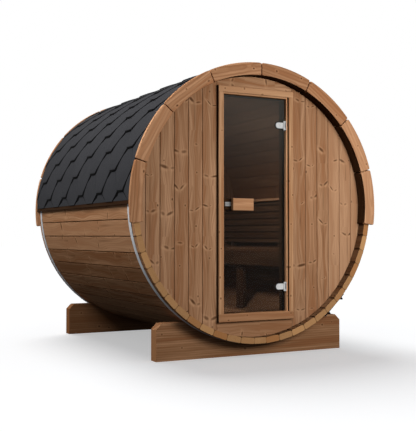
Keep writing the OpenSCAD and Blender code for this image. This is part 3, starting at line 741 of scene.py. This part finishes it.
def door_glass(colours):
    """Bronze glass: a dark clear film over what is seen through it, with a painted reflection towards its
    top:
    a paler grey film that lets less through.
    """
    f = Finish("door_glass", Roughness=0.03, Specular_IOR_Level=0.05)
    foot, top = low("door_glass").z, high("door_glass").z
    rise = (f.place()[2] - foot) / (top - foot)
    colour = tuple(colours.glass)
    # Painted reflection: the film grows paler and less clear towards the top
    painted_reflection = rise.step(0.55, 1.0)
    f.paint(Alpha=0.52 + rise.step(0.3, 0.7) * 0.05 + painted_reflection * 0.06)
    return f.coat(f.mix(painted_reflection, tinted(colour, *FILM_CLEAR), colour))


def dress(material, *nodes):
    """Gives nodes of the part one material."""
    for name in nodes:
        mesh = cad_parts[name].data
        mesh.materials.clear()
        mesh.materials.append(material)


def soften(width, *nodes):
    """Rounds the sharp edges of nodes of the part."""
    for name in nodes:
        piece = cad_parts[name]
        piece.modifiers.new("joined", "WELD")
        bevel = piece.modifiers.new("eased", "BEVEL")
        bevel.width = width
        bevel.segments = 3
        bevel.limit_method = "ANGLE"
        bevel.angle_limit = BEVEL_OVER


def placed(name, data):
    """Puts an object with some data into the scene."""
    made = bpy.data.objects.new(name, data)
    bpy.context.scene.collection.objects.link(made)
    return made


def new_piece(name, points, faces, material, body, slot, **attributes):
    """A new mesh at the origin, riding on a body of the part. attributes hold a number for each face."""
    mesh = bpy.data.meshes.new(name)
    mesh.from_pydata(points.tolist(), [], faces.tolist())
    mesh.validate()
    for key, numbers in attributes.items():
        layer = mesh.attributes.new(key, "FLOAT", "FACE")
        layer.data.foreach_set("value", numbers.astype(np.float32))
    mesh.materials.append(material)
    made = placed(name, mesh)
    mesh.shade_smooth()
    mesh.set_sharp_from_angle(angle=SMOOTH_UNDER)
    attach(made, body)
    return made


def joined(parts):
    """Points and faces of several grids as one mesh: each one's faces count on from the points before it."""
    starts = np.cumsum([0] + [points.shape[0] * points.shape[1] for points, _ in parts])
    faces = [faces + start for (_, faces), start in zip(parts, starts)]
    return np.concatenate([points.reshape(-1, 3) for points, _ in parts]), np.concatenate(faces)


def round_axis(radius, angle, y):
    """Points about the barrel axis, by the angle a from the crown: x = r sin a, z = axis + r cos a."""
    return np.stack([radius * np.sin(angle), y + 0 * radius, AXIS_Z + radius * np.cos(angle)], -1)


def grid_faces(rows, columns, closed=False):
    """Quads of a grid of points, row by row. closed joins each row's last point to its first."""
    count = columns if closed else columns - 1
    r, c = np.meshgrid(np.arange(rows - 1), np.arange(count), indexing="ij")
    after = (c + 1) % columns
    quads = [r * columns + c, r * columns + after, (r + 1) * columns + after, (r + 1) * columns + c]
    return np.stack(quads, -1).reshape(-1, 4)


def rounded_loop(half_u, half_v, radius, steps=4):
    """A rectangle with round corners: four quarter circles about the corner centres, anticlockwise."""
    turn = np.linspace(0, math.pi / 2, steps + 1)
    turns = np.concatenate([turn + quarter * math.pi / 2 for quarter in range(4)])
    corner = np.repeat([[1, 1], [-1, 1], [-1, -1], [1, -1]], steps + 1, axis=0)
    centre = corner * np.array([half_u - radius, half_v - radius])
    return centre + radius * np.stack([np.cos(turns), np.sin(turns)], -1)


def ease(depth, radius):
    """How far a quarter circle pulls an outline in, at a depth from the end: r - sqrt(r2 - (r - depth)2)."""
    rest = np.clip(radius - depth, 0, radius)
    return radius - np.sqrt(radius ** 2 - rest ** 2)


def eased_bar(start, end, half_u, half_v, arris, corner, runs, steps=5):
    """Sections of a bar with rounded edges: stations along it, and a loop in (u, v) at each.

    The loop is a rectangle with rounded arrises. Towards each end it shrinks along quarter circles: by the
    corner radius in u, so the bar's outline has round corners, and by the arris radius in v.
    """
    turn = 1 - np.cos(np.linspace(0, math.pi / 2, steps + 1))
    near = np.unique(np.concatenate([turn * arris, turn * corner]).round(6))
    between = np.linspace(start + corner, end - corner, runs + 1)[1:-1]
    stations = np.concatenate([start + near, between, (end - near)[::-1]])
    depth = np.minimum(stations - start, end - stations).clip(0)
    in_u, in_v = ease(depth, corner), ease(depth, arris)
    loops = [rounded_loop(half_u - u, half_v - v, max(arris - v, arris * 0.08), steps)
             for u, v in zip(in_u, in_v)]
    return stations, np.stack(loops)


def closed_sweep(points):
    """Faces of a closed sweep of loops, with a flat polygon over each end as a strip of quads."""
    rows, columns = points.shape[:2]
    half = np.arange(columns // 2 - 1)
    cap = np.stack([half, columns - 1 - half, columns - 2 - half, half + 1], -1)
    return np.concatenate([grid_faces(rows, columns, True), cap, (rows - 1) * columns + cap[:, ::-1]])


class SAUNA_OT_staves(bpy.types.Operator):
    """Gives the barrel staves their wood"""

    bl_idname = "sauna.staves"
    bl_label = "Staves"

    def execute(self, context):
        s = context.scene.sauna
        dress(stave_wood(s.sizes, s.colours), *[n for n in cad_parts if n.startswith("staves_")])
        return {"FINISHED"}


class SAUNA_OT_trim(bpy.types.Operator):
    """Builds the trim rings as curved boards with rounded edges, and lips behind them"""

    bl_idname = "sauna.trim"
    bl_label = "Trim rings"

    def execute(self, context):
        s = context.scene.sauna
        wood = trim_wood(s.sizes, s.colours)
        for end, turn in (("front", -1), ("back", 1)):
            for side, hand in (("left", -1), ("right", 1)):
                self.build(s.sizes, wood, f"trim_{end}_{side}", turn, hand)
        return {"FINISHED"}

    def build(self, sizes, wood, node, turn, hand):
        """One side of one ring: its boards, and behind their inner edge lips that reach back to the wall."""
        inside = TRIM_OUT - sizes.trim_width
        ends = (turn * STAVE_END, turn * TRIM_FACE)
        boards = self.bars(sizes, hand, (inside, TRIM_OUT), ends, sizes.trim_corner)
        name = node.replace("trim", "trim_boards")
        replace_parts(new_piece(name, *boards, wood, "cabin", "trim_wood"), node)
        ends = (turn * (WALL_FACE + WALL_CLEAR), turn * (STAVE_END - HAIR))
        lips = self.bars(sizes, hand, (inside, inside + sizes.trim_lip), ends, sizes.trim_lip * LIP_CORNER)
        new_piece(node.replace("trim", "trim_lips"), *lips, wood, "cabin", "trim_wood")

    def bars(self, sizes, hand, radii, ends, corner):
        """Points and faces of bars round the barrel axis, one for each trim board, on a rounded rectangle."""
        middle_r = sum(radii) / 2
        half_r = (radii[1] - radii[0]) / 2
        half_t = abs(ends[1] - ends[0]) / 2
        joint = sizes.trim_joint / 2
        arris = min(sizes.trim_round, half_r / 2)
        parts = []
        for board in range(sizes.trim_boards):
            start = board * sizes.trim_angle * middle_r + joint
            end = (board + 1) * sizes.trim_angle * middle_r - joint
            stations, loops = eased_bar(start, end, half_r, half_t, arris, corner, TRIM_RUNS)
            angle = hand * stations[:, None] / middle_r
            ring = round_axis(middle_r + loops[..., 0], angle, sum(ends) / 2 + loops[..., 1])
            parts.append((ring, closed_sweep(ring)[:, ::-hand]))
        return joined(parts)


class SAUNA_OT_walls(bpy.types.Operator):
    """Gives the end walls their boards"""

    bl_idname = "sauna.walls"
    bl_label = "End walls"

    def execute(self, context):
        s = context.scene.sauna
        dress(wall_wood(s.sizes, s.colours, True), "front_wall_left", "front_wall_right")
        dress(wall_wood(s.sizes, s.colours, False), "back_wall")
        for node in ("front_wall_head", "front_wall_sill"):
            wood = straight_wood(node + "_wood", tuple(s.colours.panel), "X", "Z", 0.3, front_middle(node),
                                 pitch=0.26, joint=0)
            dress(wood, node)
        return {"FINISHED"}


class SAUNA_OT_door_frame(bpy.types.Operator):
    """Gives the door frame and its stops their wood"""

    bl_idname = "sauna.door_frame"
    bl_label = "Door frame"

    def execute(self, context):
        colour = tuple(context.scene.sauna.colours.casing)
        for node in ("door_jamb_left", "door_jamb_right", "door_head"):
            dress(frame_wood(node, colour), node)
        dress(frame_wood("door_sill", tinted(colour, *SILL_TONE)), "door_sill")
        # The door stops are near black, as painted shade in the gaps round the glass
        dress(straight_wood("door_stop_wood", tinted(colour, *STOP_SHADE), "Z", "X"), "door_stops")
        return {"FINISHED"}


class SAUNA_OT_cradles(bpy.types.Operator):
    """Gives the cradles their wood"""

    bl_idname = "sauna.cradles"
    bl_label = "Cradles"

    def execute(self, context):
        colour = tuple(context.scene.sauna.colours.cradle)
        for node in ("cradle_front", "cradle_back"):
            wood = straight_wood(node + "_wood", colour, "X", "Z", 0.3, front_middle(node), high(node).x,
                                 pitch=0, pin_pitch=0.13, pin_size=1.7, ring=0.016, contrast=1.4, joint=0)
            dress(wood, node)
        return {"FINISHED"}


class SAUNA_OT_roof(bpy.types.Operator):
    """Builds the shingle courses and the ridge, and stains the roof boards and eave battens"""

    bl_idname = "sauna.roof"
    bl_label = "Roof"

    def execute(self, context):
        s = context.scene.sauna
        dark = straight_wood("eave_wood", tuple(s.colours.eave), "Y", "Z", 0.3, (0, 0, AXIS_Z), contrast=0.6)
        dress(dark, "roof_boards_left", "roof_boards_right", "eave_batten_left", "eave_batten_right")
        face = shingle_face(s.colours)
        for side, hand in (("left", -1), ("right", 1)):
            self.side(s.sizes, face, side, hand)
        self.ridge(s.sizes, face)
        return {"FINISHED"}

    def side(self, sizes, face, side, hand):
        """All courses of one side. A course is a sheet over Y and the way up from its lower edge.

        Its lower edge is a row of tabs: flat feet, sides that slant up over one course, and notches as
        wide as a foot. Its top face comes down by one thickness a course, so each course lies on the last.
        The black cut edge slopes out onto the course below as painted shadow, wide on the tabs' sides towards
        the door and a quarter as wide on the others. The lowest two courses are cut off at the eave.
        """
        parts, cut, lot = [], [], []
        way = np.linspace(0, 1, COURSE_STEPS + 1)[:, None]
        for course in range(-2, sizes.courses):
            foot = sizes.first_course - course * sizes.course_angle
            head = max(foot - 2 * sizes.course_angle, 0.0)
            y, lift, skirt = self.lower_edge(sizes, course)
            lower, lowest = [np.minimum(foot - edge * sizes.course_angle, EAVE) for edge in (lift, skirt)]
            over = lower + way * (head - lower)
            beneath = lowest + way * (head - lowest)
            top = np.maximum(2 - (foot - over) / sizes.course_angle, 0.06)
            under = np.maximum(1 - (foot - beneath) / sizes.course_angle, 0.03)
            ring = np.concatenate([under[::-1], top]) * sizes.shingle + SHINGLE_BED
            turn = np.concatenate([beneath[::-1], over]) * hand
            sheet = round_axis(ring, turn, y)
            made, edge = self.sheet_faces(*sheet.shape[:2])
            parts.append((sheet, made[:, ::hand]))
            cut.append(edge)
            shift = 0.5 + 0.5 * (course % 2)
            tab = np.floor(((y[:-1] + y[1:]) / 2 - sizes.tab_first) / sizes.tab_pitch + shift)
            tone = np.abs(np.sin(tab * SCATTER[0] + course * SCATTER[1] + hand) * SCATTER[2]) % 1
            lot.append(np.resize(tone, len(edge)))
        piece = new_piece(f"shingle_courses_{side}", *joined(parts), face, "cabin", "shingle",
                          cut_edge=np.concatenate(cut), lot=np.concatenate(lot))
        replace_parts(piece, f"shingles_{side}")

    def lower_edge(self, sizes, course):
        """Y of a course's columns, and how far up lie its lower edge and the black of its cut edge with the
        painted shadow, in courses.
        """
        first = sizes.tab_first + (course % 2) * sizes.tab_pitch / 2
        half = sizes.tab_pitch / 2
        foot = sizes.tab_flat / 2
        # Painted shadow of the cut edge: a quarter as wide on the tabs' sides away from the door
        far_skirt = sizes.skirt / 4
        near, away = [np.array([foot, foot + wide, half - foot, half - foot + wide])
                      for wide in (sizes.skirt, far_skirt)]
        bends = np.concatenate([-near[::-1], away, [half]])
        tabs = np.arange(-1, math.ceil(2 * STAVE_END / sizes.tab_pitch) + 1)
        y = (first + tabs[:, None] * sizes.tab_pitch + bends).ravel()
        y = np.concatenate([[-STAVE_END], y[np.abs(y) < STAVE_END], [STAVE_END]])
        off = (y - first + half) % sizes.tab_pitch - half
        skirt = np.where(off < 0, sizes.skirt, far_skirt)
        off = np.abs(off)
        rise = half - 2 * foot
        drop = sizes.skirt * 0.8 / (sizes.course_angle * SHINGLE_BED)
        return y, np.clip((off - foot) / rise, 0, 1), np.clip((off - foot - skirt) / rise, 0, 1) - drop

    def sheet_faces(self, rows, columns):
        """Faces of a closed sheet. Its rows run from the head under it to its lower edge and back over it."""
        skin = grid_faces(rows, columns)
        turn = rows // 2 - 1
        edge = np.zeros(len(skin))
        edge[turn * (columns - 1):(turn + 1) * (columns - 1)] = 1
        r = np.arange(rows // 2)
        near = np.stack([r[:-1] * columns, r[1:] * columns, (rows - 2 - r[:-1]) * columns,
                         (rows - 1 - r[:-1]) * columns], -1)
        far = near[:, ::-1] + columns - 1
        c = np.arange(columns - 1)
        head = np.stack([c + 1, c, (rows - 1) * columns + c, (rows - 1) * columns + c + 1], -1)
        faces = np.concatenate([skin, near, far, head])
        return faces, np.concatenate([edge, np.ones(len(faces) - len(skin))])

    def ridge(self, sizes, face):
        """Ridge pieces: arcs over the crown, each lapping the next towards the door."""
        half = sizes.course_angle * RIDGE_HALF
        length = 2 * STAVE_END / RIDGE_PIECES
        turn = np.linspace(-half, half, RIDGE_STEPS + 1)
        parts, cut = [], []
        for number in range(RIDGE_PIECES):
            start = -STAVE_END + number * length
            y = np.linspace(start, min(start + length * RIDGE_LAP, STAVE_END), 4)[:, None]
            fall = (y - start) / length
            top = SHINGLE_BED + sizes.shingle * np.maximum(2.4 - 0.9 * fall, 0.1) + 0 * turn
            under = np.maximum(top - sizes.shingle, SHINGLE_BED)
            sheet = round_axis(np.concatenate([under[::-1], top]), turn, np.concatenate([y[::-1], y]))
            made, edge = self.sheet_faces(*sheet.shape[:2])
            parts.append((sheet, made))
            cut.append(edge)
        cut = np.concatenate(cut)
        new_piece("shingle_ridge", *joined(parts), face, "cabin", "shingle", cut_edge=cut, lot=0 * cut)


class SAUNA_OT_steel(bpy.types.Operator):
    """Gives the bands, tensioners, hinges and catch their steel"""

    bl_idname = "sauna.steel"
    bl_label = "Steel"

    def execute(self, context):
        colours = context.scene.sauna.colours
        dress(metal("band_steel", tuple(colours.band), 0.6, 0.03, 0.0, 0.02), "band_front", "band_back")
        dress(metal("black_steel", tuple(colours.iron), 0.5, 0.01, 0.6), "tensioner_front", "tensioner_back")
        dress(metal("hinge_steel", tuple(colours.fitting), 0.3, 0.02), "hinge_plates", "hinge_clamps")
        # The catch has the hinges' steel at half brightness, as painted shade
        dress(metal("catch_steel", tinted(colours.fitting, *CATCH_SHADE), 0.3, 0.02), "handle_catch")
        return {"FINISHED"}


class SAUNA_OT_door(bpy.types.Operator):
    """Gives the door its glass and its handles, and builds the pads of its hinges"""

    bl_idname = "sauna.door"
    bl_label = "Door"

    def execute(self, context):
        s = context.scene.sauna
        dress(door_glass(s.colours), "door_glass")
        for node in ("handle_outside", "handle_inside"):
            dress(handle_wood(node, tuple(s.colours.handle)), node)
            soften(s.sizes.handle_round, node)
        self.pads(s.sizes, metal("hinge_pad", tuple(s.colours.iron), 0.7, 0.01, 0.0))
        return {"FINISHED"}

    def pads(self, sizes, rubber):
        """Rims of the pads under the hinge clamps: a flat bar bent into a U round the outline of each clamp.

        The bar's section is a rounded rectangle. It runs along the clamp, half round its end, and back.
        """
        lowest, highest = low("hinge_clamps"), high("hinge_clamps")
        half = sizes.clamp / 2
        section = rounded_loop(sizes.pad_width / 2, sizes.pad_thick / 2, sizes.pad_thick / 4)
        radius = half + sizes.pad_width / 2 + section[:, 0]
        turn = np.linspace(math.pi / 2, 3 * math.pi / 2, PAD_STEPS + 1)
        turn = np.concatenate([turn[:1], turn, turn[-1:]])[:, None]
        run = np.zeros_like(turn)
        run[[0, -1]] = sizes.pad_run
        x = lowest.x + half + run + radius * np.cos(turn)
        y = low("door_glass").y - sizes.pad_thick / 2 + section[:, 1] + 0 * turn
        rims = [np.stack([x, y, height + radius * np.sin(turn)], -1)
                for height in (lowest.z + half, highest.z - half)]
        parts = [(rim, closed_sweep(rim)) for rim in rims]
        new_piece("hinge_pads", *joined(parts), rubber, "door", "black_steel")


class SAUNA_OT_inside(bpy.types.Operator):
    """Gives the floor, bench and backrest their wood, each piece's colour scaled to paint the light and shade
    inside the cabin
    """

    bl_idname = "sauna.inside"
    bl_label = "Inside"

    def execute(self, context):
        colour = tuple(context.scene.sauna.colours.inside)
        # Each piece: the axis of its grain, the axis across its boards, the board width, and a factor on the
        # colour that paints the light and shade on it inside the cabin, brightest on the backrest cap and the
        # floor
        layout = {"floor_boards": ("Y", "X", 0.1099, 2.1), "floor_joists": ("X", "Z", 0.2, 0.8),
                  "bench_seat": ("Y", "X", 0.1, 0.7), "bench_apron": ("Y", "Z", 0.2, 0.45),
                  "bench_leg": ("Z", "Y", 0.2, 0.45), "bench_bearers": ("X", "Z", 0.2, 0.6),
                  "backrest_slats": ("Y", "Z", 0.0598, 0.75), "backrest_cap": ("Y", "X", 0.2, 3.2),
                  "backrest_posts": ("Z", "Y", 0.2, 0.5)}
        for node, (grain, across, width, tone) in layout.items():
            lit_or_shaded = tinted(colour, tone, tone, tone)
            gaps = {"joint": 1.0, "groove": 0.009} if node == "backrest_slats" else {}
            dress(straight_wood(node + "_wood", lit_or_shaded, grain, across, width, middle(node), **gaps), node)
        return {"FINISHED"}


class SAUNA_OT_stage(bpy.types.Operator):
    """Sets up the camera, the floor and the lights"""

    bl_idname = "sauna.stage"
    bl_label = "Studio"

    def execute(self, context):
        s = context.scene.sauna
        self.camera(context, s.stage)
        self.world(context, s.stage)
        self.floor(s.stage, s.colours)
        lit = bpy.data.collections.new("lit_by_lamps")
        for piece in [made for made in context.scene.objects if made.type == "MESH" and made.name != FLOOR]:
            lit.objects.link(piece)
        for name, (place, aim, size) in LAMPS.items():
            self.lamp(name, place, Vector(aim) - Vector(place), size, getattr(s.stage, name), lit)
        self.sun(s.stage)
        context.scene.view_settings.view_transform = "Standard"
        return {"FINISHED"}

    def camera(self, context, stage):
        """A camera where the photo's stood."""
        data = bpy.data.cameras.new("camera")
        data.lens = stage.lens
        made = placed("camera", data)
        made.location = stage.camera_place
        made.rotation_euler = Vector(stage.camera_aim).to_track_quat("-Z", "Y").to_euler()
        context.scene.camera = made

    def world(self, context, stage):
        """An even sky, which the camera sees as white."""
        world = bpy.data.worlds.new("studio")
        world.use_nodes = True
        n = Nodes(world.node_tree)
        light, shown = [n.node("ShaderNodeBackground", {}, {"Color": colour, "Strength": strength})
                        for colour, strength in ((tuple(stage.sky_colour), stage.sky), (WHITE, 1.0))]
        mixed = n.node("ShaderNodeMixShader", {}, [n.seen(), light, shown])
        n.node("ShaderNodeOutputWorld", {}, {"Surface": mixed})
        context.scene.world = world

    def floor(self, stage, colours):
        """A wide disc. The camera sees it pale, with a glow that makes it white where no shadow falls."""
        turn = np.linspace(0, math.tau, FLOOR_SIDES + 1)[:-1]
        reach = np.array(FLOOR_RINGS)[:, None]
        ring = np.stack([reach * np.cos(turn), reach * np.sin(turn), 0 * reach * turn], -1)
        faces = grid_faces(len(reach), turn.size, True)[:, ::-1].tolist() + [list(range(turn.size))]
        mesh = bpy.data.meshes.new(FLOOR)
        mesh.from_pydata(ring.reshape(-1, 3).tolist(), [], faces)
        f = Finish(FLOOR, Roughness=1.0, Specular_IOR_Level=0.0, Emission_Strength=1.0)
        seen = f.seen()
        glow = (stage.glow, stage.glow, stage.glow, 1)
        f.paint(Emission_Color=f.mix(seen, (0, 0, 0, 1), glow))
        mesh.materials.append(f.coat(f.mix(seen, tuple(colours.floor_bounce), tuple(colours.floor))))
        made = placed(FLOOR, mesh)

    def lamp(self, name, place, way, size, power, lit):
        """A square lamp. It lights the sauna alone, so that the floor keeps an even tone."""
        data = bpy.data.lights.new(name, "AREA")
        data.size = size
        data.energy = power
        self.hang(data, place, way).light_linking.receiver_collection = lit

    def sun(self, stage):
        """A soft light from above and behind, which lays the shadow in front of the sauna."""
        data = bpy.data.lights.new("top", "SUN")
        data.energy = stage.top
        data.angle = SUN_SPREAD
        self.hang(data, SUN_PLACE, Vector(SUN_WAY))

    def hang(self, data, place, way):
        """Hangs a lamp that shines one way, and that neither mirrors nor the camera show."""
        made = placed(data.name, data)
        made.location = place
        made.rotation_euler = way.to_track_quat("-Z", "Y").to_euler()
        made.visible_glossy = False
        made.visible_camera = False
        return made


OPERATORS = (SAUNA_OT_staves, SAUNA_OT_trim, SAUNA_OT_walls, SAUNA_OT_door_frame, SAUNA_OT_cradles,
             SAUNA_OT_roof, SAUNA_OT_steel, SAUNA_OT_door, SAUNA_OT_inside, SAUNA_OT_stage)


class SAUNA_PT_panel(bpy.types.Panel):
    """Lists the steps that dress the sauna"""

    bl_idname = "SAUNA_PT_panel"
    bl_label = "Barrel sauna"
    bl_space_type = "VIEW_3D"
    bl_region_type = "UI"
    bl_category = "Sauna"

    def draw(self, context):
        for operator in OPERATORS:
            self.layout.operator(operator.bl_idname)


CLASSES = (SaunaColours, SaunaSizes, SaunaStage, SaunaSettings, *OPERATORS, SAUNA_PT_panel)


def register():
    for cls in CLASSES:
        bpy.utils.register_class(cls)
    bpy.types.Scene.sauna = PointerProperty(type=SaunaSettings)


def unregister():
    del bpy.types.Scene.sauna
    for cls in reversed(CLASSES):
        bpy.utils.unregister_class(cls)


def main():
    """Dresses the sauna step by step."""
    register()
    for operator in OPERATORS:
        group, name = operator.bl_idname.split(".")
        getattr(getattr(bpy.ops, group), name)()


if __name__ == "__main__":
    main()
